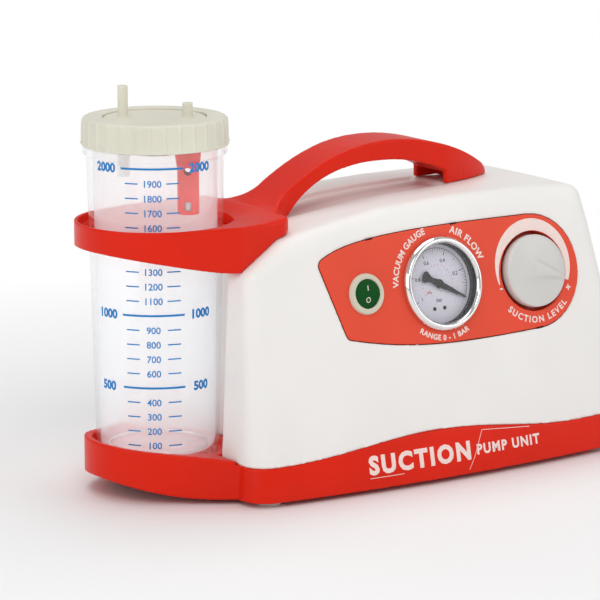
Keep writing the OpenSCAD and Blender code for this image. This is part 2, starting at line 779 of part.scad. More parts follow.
module battery_strap() color("gray") {
    difference() {
        box([0, battery_low[1] - 1.2, tray_floor], [14, battery_high[1] + 1.2, battery_high[2] + 1.2]);
        box([-1, battery_low[1] - 0.1, 0], [15, battery_high[1] + 0.1, battery_high[2] + 0.1]);
    }
}

board_x = 112;
module circuit_board() color("darkgreen")
    box([board_x, -28, 20], [board_x + 1.6, 40, 92]);

module board_parts() color("black") {
    box([board_x - 14, -22, 26], [board_x - 0.05, -6, 44]);
    box([board_x - 10, 24, 30], [board_x - 0.05, 36, 56]);
    for (z = [56, 70]) translate([board_x - 0.05, -12, z + 4]) rotate([0, -90, 0]) cylinder(r = 5, h = 12);
    box([board_x - 3, 2, 62], [board_x - 0.05, 22, 82]);
}

module dc_socket() color("black") {
    on_rear(rear_plate_x + socket_dx, rear_plate_z, rear_thick) difference() {
        union() {
            cylinder(r = 7, h = 1.6);
            translate([0, 0, -16]) cylinder(r = 5.5, h = 16.5);
        }
        translate([0, 0, -4]) cylinder(r = 3.2, h = 12);
        translate([0, 0, -13]) ring(2.8, 1.05, 9.01);
    }
}

module fuse_holder() color("black") {
    on_rear(rear_plate_x + fuse_dx, rear_plate_z, rear_thick) difference() {
        union() {
            cylinder(r = 8, h = 1.6);
            translate([0, 0, -24]) cylinder(r = 6, h = 24.5);
        }
        translate([0, 0, -18]) cylinder(r = 4.2, h = 40);
    }
}

module fuse_cap() color("dimgray") {
    on_rear(rear_plate_x + fuse_dx, rear_plate_z, rear_thick) difference() {
        union() {
            translate([0, 0, 1.65]) cylinder(r = 6.6, h = 4.4);
            translate([0, 0, -14]) cylinder(r = 4.1, h = 16);
        }
        translate([-7, -0.6, 4.6]) cube([14, 1.2, 4]);
    }
}

// ---------- air path ----------
inlet_tail = 14;      // length of the inlet port's inner nipple
bend_radius = 19.7;
module inlet_port() color("ivory") {
    difference() {
        on_rear(inlet_x, inlet_z) union() {
            translate([0, 0, -1]) cylinder(r = 8, h = 4.5);
            cylinder(r = spout_radius, h = 18);
        }
        body_form(-skin_gap);
        on_rear(inlet_x, inlet_z, -1) cylinder(r = 1.8, h = 40);
    }
    on_rear(inlet_x, inlet_z) difference() {
        union() {
            translate([0, 0, -6]) cylinder(r = 5, h = 8);
            translate([0, 0, -inlet_tail]) cylinder(r = spout_radius, h = inlet_tail);
        }
        translate([0, 0, -30]) cylinder(r = 1.8, h = 60);
    }
}

// Soft hose from the inlet port round to the pump head's nipple, with a thicker cuff at each end
hose_out = 5;
cuff_out = 5.4;
hose_in = 2.7;
module at_bend() translate([bend_radius, 0, -inlet_tail]) rotate([90, 0, 0]) children();
module inlet_hose() color("lightyellow") {
    first_cuff = inlet_tail - 6.5;
    last_cuff = cyl_x - 24 - inlet_x - bend_radius - 0.5;
    on_rear(inlet_x, inlet_z) {
        translate([0, 0, -inlet_tail]) ring(cuff_out, spout_radius + run, first_cuff);
        at_bend() rotate_extrude(angle = 90, start = 180) translate([bend_radius, 0]) difference() {
            circle(r = hose_out);
            circle(r = hose_in);
        }
        translate([bend_radius, 0, -inlet_tail - bend_radius]) along_x() ring(cuff_out, spout_radius + run, last_cuff);
    }
}

module exhaust_silencer() color("gray") {
    translate([cyl_x - 24 - 12, axis_y - 10, head_z + 8]) rotate([0, -90, 0]) difference() {
        union() {
            translate([0, 0, 0.2]) cylinder(r = 9, h = 18);
            translate([0, 0, -8]) cylinder(r = hose_out, h = 9);
        }
        translate([0, 0, -20]) cylinder(r = spout_radius + run, h = 22);
        for (a = [0:45:315]) rotate([0, 0, a]) translate([6, 0, 8]) cylinder(r = 1, h = 20, $fn = 24);
    }
}

module wire(from, to, r = 0.9) translate(from) {
    v = to - from;
    rotate([0, acos(v[2] / norm(v)), atan2(v[1], v[0])]) cylinder(r = r, h = norm(v), $fn = 24);
}

module wiring_loom() color("firebrick") {
    wire([72, -49.6, 73], [108, -8, 98]);
    wire([84, -46.6, 73], [112.8, -4, 98]);
}

base_tray();
housing();
carry_handle();
control_panel();
rear_plate();
rubber_feet();
base_screws();
collection_jar();
lid_disc();
lid_ring();
lid_gasket();
patient_drop_tube();
float_cage();
overflow_float();
float_seal();
gauge_case();
gauge_bezel();
gauge_lens();
gauge_dial();
gauge_pointer();
gauge_bourdon_tube();
gauge_stem();
switch_body();
switch_rocker();
switch_terminals();
suction_knob();
regulator_body();
regulator_spindle();
regulator_nut();
motor_can();
motor_end_cap();
motor_magnets();
motor_shaft();
motor_armature();
motor_fan();
crank_disc();
crankcase();
crankcase_cover();
connecting_rod();
piston_seal();
cylinder_sleeve();
cylinder_head();
valve_flaps();
head_screws();
pump_bracket();
vibration_mounts();
battery();
battery_strap();
circuit_board();
board_parts();
dc_socket();
fuse_holder();
fuse_cap();
inlet_port();
inlet_hose();
exhaust_silencer();
wiring_loom();
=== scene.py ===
"""Looks of the portable suction pump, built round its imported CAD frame.

Metres, in the frame's own axes: +X along the body away from the jar, -Y towards the
control panel, +Z up. Sizes below are written in millimetres and turned into metres by MM.
"""
import json
import math

import bmesh
import bpy
import numpy as np
from mathutils import Matrix, Vector
from mathutils.bvhtree import BVHTree
from mathutils.geometry import convex_hull_2d


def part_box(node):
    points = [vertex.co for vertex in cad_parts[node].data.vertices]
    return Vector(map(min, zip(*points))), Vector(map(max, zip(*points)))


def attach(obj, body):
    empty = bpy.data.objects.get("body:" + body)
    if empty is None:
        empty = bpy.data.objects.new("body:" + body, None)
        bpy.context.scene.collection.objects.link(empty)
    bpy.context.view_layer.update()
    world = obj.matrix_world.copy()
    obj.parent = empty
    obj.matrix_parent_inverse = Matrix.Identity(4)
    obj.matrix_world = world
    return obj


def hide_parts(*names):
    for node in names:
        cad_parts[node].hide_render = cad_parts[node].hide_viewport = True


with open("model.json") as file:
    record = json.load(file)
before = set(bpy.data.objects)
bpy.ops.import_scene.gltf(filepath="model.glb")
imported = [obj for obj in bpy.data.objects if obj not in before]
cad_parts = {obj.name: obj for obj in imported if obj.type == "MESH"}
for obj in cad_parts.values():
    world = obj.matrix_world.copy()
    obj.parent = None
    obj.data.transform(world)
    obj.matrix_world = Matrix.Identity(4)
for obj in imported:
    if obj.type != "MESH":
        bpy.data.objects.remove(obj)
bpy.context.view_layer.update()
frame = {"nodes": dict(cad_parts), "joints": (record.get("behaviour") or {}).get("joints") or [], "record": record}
record = frame["record"]
joints = {joint["name"]: joint for joint in frame["joints"]}
node_body = {node: body for body, nodes in record["behaviour"]["bodies"].items() for node in nodes}
MM = 0.001


# ---------------------------------------------------------------- places
def facing(origin, out):
    """Local frame at origin whose +Z points out of a surface and whose +X runs along the pump."""
    z = Vector(out).normalized()
    x = Vector((1, 0, 0))
    y = z.cross(x)
    turn = Matrix((x, y, z)).transposed().to_4x4()
    return Matrix.Translation(Vector(origin)) @ turn


def joint_place(name):
    return facing(joints[name]["pos_m"], joints[name]["axis"])


gauge_place = joint_place("pointer_swing")
knob_place = joint_place("knob_turn")
jar_axis = Vector(joints["lid_ring_turn"]["pos_m"]).to_2d()
switch_low, switch_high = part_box("switch_body")
switch_x = (switch_low.x + switch_high.x) / 2
switch_place = Matrix.Translation(Vector((switch_x - knob_place.translation.x, 0, 0))) @ knob_place
jar_low, jar_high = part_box("collection_jar")
tray_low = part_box("base_tray")[0]
roof_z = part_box("housing")[1].z
view_dir = Vector((-0.5610, -0.8012, 0.2079))  # from the pump towards the camera


# ---------------------------------------------------------------- materials
def new_material(name):
    material = bpy.data.materials.new(name)
    material.use_nodes = True
    tree = material.node_tree
    return material, tree, tree.nodes["Principled BSDF"]


def add_node(tree, kind, **values):
    node = tree.nodes.new(kind)
    for key, value in values.items():
        if key in node.inputs:
            node.inputs[key].default_value = value
        else:
            setattr(node, key, value)
    return node


def add_noise(tree, scale, detail=3.0, stretch=None):
    """Noise in the frame's own metres, so that its grain has a real size. Scale is cells per metre."""
    place = add_node(tree, "ShaderNodeTexCoord")
    source = place.outputs["Object"]
    if stretch:
        mapping = add_node(tree, "ShaderNodeMapping")
        mapping.inputs["Scale"].default_value = stretch
        tree.links.new(source, mapping.inputs["Vector"])
        source = mapping.outputs["Vector"]
    grain = add_node(tree, "ShaderNodeTexNoise", Scale=scale, Detail=detail)
    tree.links.new(source, grain.inputs["Vector"])
    return grain.outputs["Fac"]


def ranged(tree, value, low, high, start=0.3, end=0.7):
    node = add_node(tree, "ShaderNodeMapRange")
    node.inputs["From Min"].default_value = start
    node.inputs["From Max"].default_value = end
    node.inputs["To Min"].default_value = low
    node.inputs["To Max"].default_value = high
    tree.links.new(value, node.inputs["Value"])
    return node.outputs["Result"]


def mixed(tree, factor, a, b):
    """Colour socket between a and b by a factor socket. a and b may be colours or sockets."""
    node = add_node(tree, "ShaderNodeMix", data_type="RGBA")
    tree.links.new(factor, node.inputs["Factor"])
    for socket, value in ((node.inputs[6], a), (node.inputs[7], b)):
        if isinstance(value, tuple):
            socket.default_value = (*value[:3], 1)
        else:
            tree.links.new(value, socket)
    return node.outputs[2]


def shade(colour, factor):
    return tuple(min(1.0, c * factor) for c in colour)


def add_bump(tree, shader, height, strength, distance):
    bump = add_node(tree, "ShaderNodeBump", Strength=strength, Distance=distance)
    tree.links.new(height, bump.inputs["Height"])
    tree.links.new(bump.outputs["Normal"], shader.inputs["Normal"])


def edge_mask(tree, strength, radius=0.0012):
    """How far the rounded normal turns away from the true one: 0 on faces, up to strength on edges."""
    rounded = add_node(tree, "ShaderNodeBevel", samples=4)
    rounded.inputs["Radius"].default_value = radius
    plain = add_node(tree, "ShaderNodeNewGeometry")
    agree = add_node(tree, "ShaderNodeVectorMath", operation="DOT_PRODUCT")
    tree.links.new(rounded.outputs[0], agree.inputs[0])
    tree.links.new(plain.outputs["Normal"], agree.inputs[1])
    return ranged(tree, agree.outputs["Value"], 0, strength, 0.99, 0.80)


def moulded_plastic(name, colour, rough=0.38, bump=0.25, mottle=0.05, wear_and_highlight=0.12, glow=0.0, shine=0.5):
    """Injection moulding: faint colour drift, a fine satin grain, and edges painted lighter, partly as wear and
    partly as a painted highlight.
    """
    material, tree, shader = new_material(name)
    drift = add_noise(tree, 22, 4)
    base = mixed(tree, ranged(tree, drift, 0, 1), shade(colour, 1 - mottle), shade(colour, 1 + mottle))
    # Edges painted lighter: partly wear, partly a painted highlight where light catches the rounded edges.
    base = mixed(tree, edge_mask(tree, wear_and_highlight), base, shade(colour, 1.4))
    tree.links.new(base, shader.inputs["Base Color"])
    scuff = add_noise(tree, 140, 6)
    tree.links.new(ranged(tree, scuff, rough - 0.03, rough + 0.04, 0, 1), shader.inputs["Roughness"])
    add_bump(tree, shader, add_noise(tree, 2600, 2), bump, 0.00003)
    shader.inputs["IOR"].default_value = 1.49
    shader.inputs["Specular IOR Level"].default_value = shine
    if glow:
        shader.inputs["Subsurface Weight"].default_value = glow
        shader.inputs["Subsurface Radius"].default_value = (0.004, 0.003, 0.003)
    return material


def metal(name, colour, rough=0.25, stretch=(1, 1, 1), grain=900, bump=0.15, tarnish=0.12):
    """Metal with a drawn or turned grain along the axes that stretch leaves small."""
    material, tree, shader = new_material(name)
    shader.inputs["Metallic"].default_value = 1
    drift = add_noise(tree, 60, 4)
    base = mixed(tree, ranged(tree, drift, 0, 1), shade(colour, 1 - tarnish), colour)
    tree.links.new(base, shader.inputs["Base Color"])
    streaks = add_noise(tree, grain, 4, stretch)
    tree.links.new(ranged(tree, streaks, rough * 0.7, rough * 1.4), shader.inputs["Roughness"])
    add_bump(tree, shader, streaks, bump, 0.00002)
    return material


def soft_rubber(name, colour, rough=0.7, clear=0.0):
    """Rubber or soft tube: matt and finely grained. clear is the share of light that passes."""
    material, tree, shader = new_material(name)
    drift = add_noise(tree, 90, 5)
    base = mixed(tree, ranged(tree, drift, 0, 1), shade(colour, 0.85), shade(colour, 1.1))
    tree.links.new(base, shader.inputs["Base Color"])
    tree.links.new(ranged(tree, drift, rough - 0.1, rough + 0.1), shader.inputs["Roughness"])
    add_bump(tree, shader, add_noise(tree, 1800, 3), 0.35, 0.00005)
    shader.inputs["Transmission Weight"].default_value = clear
    return material


def clear_film(name, tint, edge_tint, haze=0.04, rough=0.04, mirror_face=0.03, mirror_edge=0.45, veil=0.0):
    """Clear moulding seen as thin walls: light goes straight through, edges read darker and shinier.

    veil is the haze of a wall seen through another one, as the far side of a vessel is."""
    material, tree, shader = new_material(name)
    tree.nodes.remove(shader)
    output = tree.nodes["Material Output"]
    weight = add_node(tree, "ShaderNodeLayerWeight", Blend=0.5)
    grazing = add_node(tree, "ShaderNodeMath", operation="POWER")
    tree.links.new(weight.outputs["Facing"], grazing.inputs[0])
    grazing.inputs[1].default_value = 4.0
    graze = grazing.outputs[0]
    drift = add_noise(tree, 35, 3)
    through = add_node(tree, "ShaderNodeBsdfTransparent")
    tree.links.new(mixed(tree, graze, tint, edge_tint), through.inputs["Color"])
    body = add_node(tree, "ShaderNodeAddShader")
    for index, (kind, colour) in enumerate((("ShaderNodeBsdfDiffuse", (0.87, 0.88, 0.89, 1)),
                                            ("ShaderNodeBsdfTranslucent", (0.37, 0.38, 0.39, 1)))):
        layer = add_node(tree, kind, Color=colour)
        tree.links.new(layer.outputs[0], body.inputs[index])
    shine = add_node(tree, "ShaderNodeBsdfGlossy", Roughness=rough)
    shine.inputs["Color"].default_value = (1, 1, 1, 1)
    tree.links.new(ranged(tree, drift, rough * 0.6, rough * 1.8), shine.inputs["Roughness"])
    hazy = add_node(tree, "ShaderNodeMixShader")
    cloud = ranged(tree, drift, haze * 0.6, haze * 1.5)
    if veil:
        path = add_node(tree, "ShaderNodeLightPath")
        deeper = ranged(tree, path.outputs["Transparent Depth"], 0, veil, 1.4, 1.6)
        wider = add_node(tree, "ShaderNodeMath", operation="MAXIMUM")
        tree.links.new(cloud, wider.inputs[0])
        tree.links.new(deeper, wider.inputs[1])
        lit = add_node(tree, "ShaderNodeMath", operation="MULTIPLY")
        tree.links.new(wider.outputs[0], lit.inputs[0])
        tree.links.new(ranged(tree, path.outputs["Is Shadow Ray"], 1, 0.15, 0, 1), lit.inputs[1])
        cloud = lit.outputs[0]
    tree.links.new(cloud, hazy.inputs[0])
    tree.links.new(through.outputs[0], hazy.inputs[1])
    tree.links.new(body.outputs[0], hazy.inputs[2])
    mirror = add_node(tree, "ShaderNodeMixShader")
    tree.links.new(ranged(tree, graze, mirror_face, mirror_edge, 0, 1), mirror.inputs[0])
    tree.links.new(hazy.outputs[0], mirror.inputs[1])
    tree.links.new(shine.outputs[0], mirror.inputs[2])
    tree.links.new(mirror.outputs[0], output.inputs["Surface"])
    bump = add_node(tree, "ShaderNodeBump", Strength=0.06, Distance=0.0004)
    tree.links.new(add_noise(tree, 55, 2), bump.inputs["Height"])
    tree.links.new(bump.outputs["Normal"], shine.inputs["Normal"])
    return material


def ink(name, colour, rough=0.45, shine=0.3):
    """Screen-printed ink: a little uneven, slightly raised."""
    material, tree, shader = new_material(name)
    patch = add_noise(tree, 700, 4)
    base = mixed(tree, ranged(tree, patch, 0, 1), shade(colour, 0.9), colour)
    tree.links.new(base, shader.inputs["Base Color"])
    shader.inputs["Roughness"].default_value = rough
    shader.inputs["Specular IOR Level"].default_value = shine
    add_bump(tree, shader, patch, 0.2, 0.00002)
    return material


RECIPES = (
    (moulded_plastic, {
        # Each moulding's edge value paints its edges lighter: partly wear, partly a painted highlight.
        "housing_white": dict(colour=(0.84, 0.82, 0.795), rough=0.42, mottle=0.02, wear_and_highlight=0.2),
        "signal_red": dict(colour=(0.70, 0.016, 0.003), rough=0.33, wear_and_highlight=0.5, shine=0.16),
        "panel_red": dict(colour=(0.76, 0.068, 0.030), rough=0.38, wear_and_highlight=0.2, shine=0.25),
        "plate_grey": dict(colour=(0.05, 0.05, 0.055), rough=0.45),
        "lid_ivory": dict(colour=(0.70, 0.68, 0.57), rough=0.40, wear_and_highlight=0.4, glow=0.12),
        "cage_red": dict(colour=(0.90, 0.05, 0.035), rough=0.3, glow=0.1, shine=0.3),
        "float_white": dict(colour=(0.82, 0.82, 0.80), rough=0.4),
        "gauge_black": dict(colour=(0.012, 0.012, 0.014), rough=0.55, bump=0.05, wear_and_highlight=0.0, shine=0.08),
        "bezel_beige": dict(colour=(0.62, 0.58, 0.46), rough=0.36),
        "rocker_green": dict(colour=(0.001, 0.07, 0.008), rough=0.22, wear_and_highlight=0.05, shine=0.12),
        "knob_grey": dict(colour=(0.62, 0.61, 0.59), rough=0.33, mottle=0.03, wear_and_highlight=0.2),
        "battery_case": dict(colour=(0.03, 0.045, 0.06), rough=0.5, bump=0.5),
        "board_green": dict(colour=(0.01, 0.11, 0.035), rough=0.3, mottle=0.2),
    }),
    (soft_rubber, {
        "foot_rubber": dict(colour=(0.72, 0.70, 0.66), rough=0.5, clear=0.3),
        "black_rubber": dict(colour=(0.02, 0.02, 0.02)),
        "seal_grey": dict(colour=(0.20, 0.20, 0.21)),
        "seal_tan": dict(colour=(0.45, 0.33, 0.19), rough=0.5),
        "magnet_grey": dict(colour=(0.06, 0.06, 0.065), rough=0.55),
        "hose_clear": dict(colour=(0.72, 0.70, 0.58), rough=0.3, clear=0.4),
        "wire_red": dict(colour=(0.45, 0.02, 0.02), rough=0.4),
    }),
    (metal, {
        "steel": dict(colour=(0.60, 0.60, 0.60), rough=0.28, stretch=(1, 14, 14)),
        "gauge_chrome": dict(colour=(0.82, 0.82, 0.81), rough=0.09, grain=500, bump=0.05, tarnish=0.05),
        "brass": dict(colour=(0.72, 0.52, 0.22), rough=0.24, stretch=(1, 10, 10)),
        "motor_steel": dict(colour=(0.52, 0.53, 0.54), rough=0.35, stretch=(14, 1, 1)),
        "winding_copper": dict(colour=(0.62, 0.24, 0.10), rough=0.4, stretch=(1, 30, 30), grain=700,
                               bump=0.5, tarnish=0.3),
        "cast_alloy": dict(colour=(0.60, 0.61, 0.62), rough=0.5, grain=1100, bump=0.6, tarnish=0.2),
    }),
    (clear_film, {
        "jar_clear": dict(tint=(0.985, 0.99, 0.99), edge_tint=(0.86, 0.88, 0.90), rough=0.05, veil=0.40),
        "tube_clear": dict(tint=(0.90, 0.90, 0.87), edge_tint=(0.75, 0.75, 0.72), haze=0.35, rough=0.2),
        "gauge_glass": dict(tint=(0.98, 0.982, 0.99), edge_tint=(0.9, 0.92, 0.94), haze=0.003, rough=0.02,
                            mirror_face=0.02, mirror_edge=0.3),
    }),
    (ink, {
        "dial_white": dict(colour=(0.74, 0.71, 0.78), rough=0.5),
        "pointer_black": dict(colour=(0.006, 0.006, 0.007), rough=0.5, shine=0.1),
        "print_white": dict(colour=(0.92, 0.74, 0.69)),
        "print_blue": dict(colour=(0.012, 0.21, 0.56)),
        "print_black": dict(colour=(0.03, 0.03, 0.035)),
        "print_red": dict(colour=(0.62, 0.04, 0.03)),
        "shadow_dark": dict(colour=(0.06, 0.006, 0.004), rough=0.7, shine=0.1),
    }),
)
finishes = {name: maker(name, **values) for maker, recipes in RECIPES for name, values in recipes.items()}
node_slot = {part["node"]: part["material_slot"] for part in record["subparts"]}


# ---------------------------------------------------------------- mesh helpers
def new_piece(name, mesh, body, finish, stands_for=()):
    """Links a mesh as one piece that rides on a body, in place of the CAD nodes it stands for."""
    piece = bpy.data.objects.new(name, mesh)
    bpy.context.scene.collection.objects.link(piece)
    mesh.materials.clear()
    mesh.materials.append(finishes[finish])
    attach(piece, body)
    if stands_for:
        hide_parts(*stands_for)
    return piece


def mesh_from(name, points, faces, place=None):
    """Mesh from points in millimetres in the local frame of place."""
    mesh = bpy.data.meshes.new(name)
    place = place or Matrix.Identity(4)
    mesh.from_pydata([place @ (Vector(p) * MM) for p in points], [], faces)
    grid = bmesh.new()
    grid.from_mesh(mesh)
    bmesh.ops.remove_doubles(grid, verts=grid.verts, dist=1e-7)
    bmesh.ops.recalc_face_normals(grid, faces=grid.faces)
    grid.to_mesh(mesh)
    grid.free()
    mesh.polygons.foreach_set("use_smooth", [True] * len(mesh.polygons))
    return mesh


def filleted(corners, steps=5, closed=True):
    """Outline through corners (x, y, radius), each rounded by its radius."""
    outline = []
    count = len(corners)
    for i, (x, y, radius) in enumerate(corners):
        if radius == 0 or (not closed and i in (0, count - 1)):
            outline.append((x, y))
            continue
        here = Vector((x, y))
        before = Vector(corners[i - 1][:2]) - here
        after = Vector(corners[(i + 1) % count][:2]) - here
        cut = min(radius, before.length / 2, after.length / 2)
        first, last = here + before.normalized() * cut, here + after.normalized() * cut
        for k in range(steps + 1):
            t = k / steps
            outline.append(tuple((1 - t) ** 2 * first + 2 * t * (1 - t) * here + t * t * last))
    return outline


def lathe(name, outline, place, steps=128, wave=None):
    """Solid of revolution about local Z. The outline is a closed loop of (radius, z).

    wave(turn, r, z) adds to the radius."""
    points, faces = [], []
    count = len(outline)
    for i in range(steps):
        turn = 2 * math.pi * i / steps
        for r, z in outline:
            radius = r + (wave(turn, r, z) if wave else 0)
            points.append((radius * math.cos(turn), radius * math.sin(turn), z))
    for i in range(steps):
        for k in range(count):
            a, b = i * count + k, i * count + (k + 1) % count
            c, d = (i + 1) % steps * count + (k + 1) % count, (i + 1) % steps * count + k
            faces.append((a, b, c, d))
    mesh = mesh_from(name, points, faces, place)
    grid = bmesh.new()
    grid.from_mesh(mesh)
    bmesh.ops.dissolve_degenerate(grid, edges=grid.edges, dist=1e-7)
    grid.to_mesh(mesh)
    grid.free()
    mesh.polygons.foreach_set("use_smooth", [True] * len(mesh.polygons))
    return mesh


def turned_piece(name, outline, place, steps, body, finish, stands_for=(), wave=None):
    return new_piece(name, lathe(name, outline, place, steps, wave), body, finish, stands_for)


def vertex_array(mesh):
    points = np.zeros(len(mesh.vertices) * 3)
    mesh.vertices.foreach_get("co", points)
    return points.reshape(-1, 3)


def normal_array(mesh):
    normals = np.zeros(len(mesh.vertices) * 3)
    mesh.vertices.foreach_get("normal", normals)
    return normals.reshape(-1, 3)


def store(mesh, points):
    mesh.vertices.foreach_set("co", points.ravel())
    mesh.update()


def baked(piece):
    """The piece's mesh with its modifiers applied."""
    bpy.context.view_layer.update()
    seen = piece.evaluated_get(bpy.context.evaluated_depsgraph_get())
    mesh = bpy.data.meshes.new_from_object(seen)
    piece.modifiers.clear()
    return mesh


def moulding(name, node, cell, passes, keep, finish, sculpt=None, trim=None, zone=None):
    """Smooth moulded copy of a CAD node, remeshed to even cells and eased so that its edges are round.

    zone(points) picks out vertices that are eased much further, for blends between two forms.
    sculpt shapes the fine mesh, and trim shapes the mesh thinned to the share keep of its faces."""
    grid = bmesh.new()
    grid.from_mesh(frame["nodes"][node].data)
    bmesh.ops.remove_doubles(grid, verts=grid.verts, dist=1e-6)
    mesh = bpy.data.meshes.new(name)
    grid.to_mesh(mesh)
    grid.free()
    work = bpy.data.objects.new(name + "_work", mesh)
    bpy.context.scene.collection.objects.link(work)
    even = work.modifiers.new("even", "REMESH")
    even.mode = "VOXEL"
    even.voxel_size = cell * MM
    ease = work.modifiers.new("ease", "SMOOTH")
    ease.factor = 0.5
    ease.iterations = passes
    work.data = baked(work)
    if zone:
        group = work.vertex_groups.new(name="zone")
        weights = zone(vertex_array(work.data))
        for level in range(1, 11):
            group.add(np.flatnonzero(np.ceil(weights * 10) == level).tolist(), level / 10, "REPLACE")
        blend = work.modifiers.new("blend", "SMOOTH")
        blend.factor = 0.5
        blend.iterations = 70
        blend.vertex_group = "zone"
        work.data = baked(work)
        work.vertex_groups.clear()
    if sculpt:
        points = vertex_array(work.data)
        sculpt(points, normal_array(work.data))
        store(work.data, points)
    thin = work.modifiers.new("thin", "DECIMATE")
    thin.ratio = keep
    work.data = baked(work)
    mesh = work.data
    if trim:
        points = vertex_array(mesh)
        trim(points, normal_array(mesh))
        store(mesh, points)
    bpy.data.objects.remove(work)
    mesh.name = name
    mesh.polygons.foreach_set("use_smooth", [True] * len(mesh.polygons))
    return new_piece(name, mesh, node_body[node], finish, (node,))


def smoothstep(value, low, high):
    t = np.clip((value - low) / (high - low), 0, 1)
    return t * t * (3 - 2 * t)


# ---------------------------------------------------------------- printing
def lettering(text, height, bold=0.0, spacing=1.0):
    """Flat letters as (points, faces) in millimetres, centred on the origin, cap height given."""
    curve = bpy.data.curves.new("letters", "FONT")
    curve.body = text
    curve.size = height / 0.72
    curve.offset = bold
    curve.space_character = spacing
    curve.align_x = "CENTER"
    curve.resolution_u = 3
    letters = bpy.data.objects.new("letters", curve)
    mesh = bpy.data.meshes.new_from_object(letters)
    grid = bmesh.new()
    grid.from_mesh(mesh)
    bmesh.ops.remove_doubles(grid, verts=grid.verts, dist=1e-4)
    bmesh.ops.dissolve_degenerate(grid, edges=grid.edges, dist=1e-4)
    grid.verts.index_update()
    points = [(v.co.x, v.co.y - height / 2) for v in grid.verts]
    faces = [tuple(v.index for v in face.verts) for face in grid.faces]
    grid.free()
    bpy.data.objects.remove(letters)
    bpy.data.curves.remove(curve)
    bpy.data.meshes.remove(mesh)
    return points, faces


def bar(x0, y0, x1, y1, width, cuts=8):
    """Straight printed line as (points, faces)."""
    start, end = Vector((x0, y0)), Vector((x1, y1))
    side = (end - start).normalized().orthogonal() * width / 2
    points, faces = [], []
    for i in range(cuts + 1):
        middle = start.lerp(end, i / cuts)
        points += [tuple(middle - side), tuple(middle + side)]
    for i in range(cuts):
        faces.append((2 * i, 2 * i + 1, 2 * i + 3, 2 * i + 2))
    return points, faces


def band(angles, inner, outer):
    """Printed band round the origin between two radii, each a function of the angle in degrees."""
    points, faces = [], []
    whole = angles[-1] - angles[0] == 360
    for a in angles[:-1] if whole else angles:
        turn = math.radians(a)
        for r in (inner(a), outer(a)):
            points.append((r * math.cos(turn), r * math.sin(turn)))
    count = len(points)
    for i in range(len(angles) - 1):
        faces.append((2 * i, 2 * i + 1, (2 * i + 3) % count, (2 * i + 2) % count))
    return points, faces


def moved(shape, dx, dy):
    points, faces = shape
    return [(x + dx, y + dy) for x, y in points], faces


def arched(shape, radius, angle, under=False):
    """Bends flat letters round the origin: over the top, or under with their tops inwards."""
    points, faces = shape
    way = 1 if under else -1
    bent = []
    for x, y in points:
        turn = math.radians(angle) + way * x / radius
        r = radius - y if under else radius + y
        bent.append((r * math.cos(turn), r * math.sin(turn)))
    return bent, faces


def finer(shape, longest=1.5):
    """The same flat print in small triangles, so that it can follow a bent surface."""
    points, faces = shape
    grid = bmesh.new()
    corners = [grid.verts.new((x, y, 0)) for x, y in points]
    for face in faces:
        if len(set(face)) > 2:
            grid.faces.new([corners[i] for i in face])
    for _ in range(4):
        bmesh.ops.triangulate(grid, faces=grid.faces)
        long_edges = [edge for edge in grid.edges if edge.calc_length() > longest]
        bmesh.ops.subdivide_edges(grid, edges=long_edges, cuts=1)
    bmesh.ops.triangulate(grid, faces=grid.faces)
    grid.verts.index_update()
    places = [v.co.to_2d() for v in grid.verts]
    corners_of = [tuple(v.index for v in face.verts) for face in grid.faces]
    grid.free()
    return places, list({frozenset(face): face for face in corners_of}.values())


def printed(name, shapes, onto, body, finish, thick=0.12):
    """One piece of print with a little thickness.

    onto(x, y, lift) gives the point lift millimetres over the surface, in metres."""
    grid = bmesh.new()
    for points, faces in shapes:
        low = [grid.verts.new(onto(x, y, 0.02)) for x, y in points]
        high = [grid.verts.new(onto(x, y, thick)) for x, y in points]
        edges = {}
        for face in faces:
            if len(set(face)) < 3:
                continue
            grid.faces.new([high[i] for i in face])
            grid.faces.new([low[i] for i in reversed(face)])
            for side in zip(face, face[1:] + face[:1]):
                edges.setdefault(frozenset(side), []).append(side)
        for sides in edges.values():
            if len(sides) == 1:
                a, b = sides[0]
                grid.faces.new((low[a], low[b], high[b], high[a]))
    bmesh.ops.recalc_face_normals(grid, faces=grid.faces)
    mesh = bpy.data.meshes.new(name)
    grid.to_mesh(mesh)
    grid.free()
    return new_piece(name, mesh, body, finish)


def flat_on(place, level=0.0):
    """Mapping onto the flat face of a local frame, level millimetres up."""
    return lambda x, y, lift: place @ (Vector((x, y, level + lift)) * MM)


# ---------------------------------------------------------------- housing, tray, handle, panel
def scoop_roof(points, normals):
    """Shallow hand hollow in the roof under the handle."""
    x, y, z = (points / MM).T
    deepest = 2.4
    across = 1 - smoothstep(np.abs(y), 16.2, 19.0)
    along = smoothstep(x, -58, -30) * (1 - smoothstep(x, 66, 72))
    outer = (z > roof_z / MM - 16) & (normals[:, 2] > 0.5)
    points[:, 2] -= np.where(outer, deepest * across * along, 0) * MM


def dish_collar(points, normals):
    """Dish in the collar's top between its rim and the foot of the arch."""
    x, y, z = (points / MM).T
    centre_x, half_x, half_y, deepest = -84, 25, 44, 4.0
    bowl = 1 - smoothstep(np.hypot((x - centre_x) / half_x, y / half_y), 0.1, 1.0)
    top = (normals[:, 2] > 0.5) & (z > 155) & (z < 172)
    points[:, 2] -= np.where(top, deepest * bowl, 0) * MM


def arch_root(points):
    """Where the arch grows out of the collar: blended into one form."""
    x, y, z = (points / MM).T
    along = smoothstep(x, -88, -80) * (1 - smoothstep(x, -54, -44))
    return along * smoothstep(np.abs(y), 8, 14) * smoothstep(z, 146, 156)


def seam_height(x):
    """The seam between tray and housing, a cosine wave along X, in millimetres."""
    low, rise, middle, half = 23.5, 8.5, 12, 110
    wave = np.cos(np.pi / 2 * np.clip((x - middle) / half, -1, 1)) ** 2
    return low + rise * wave


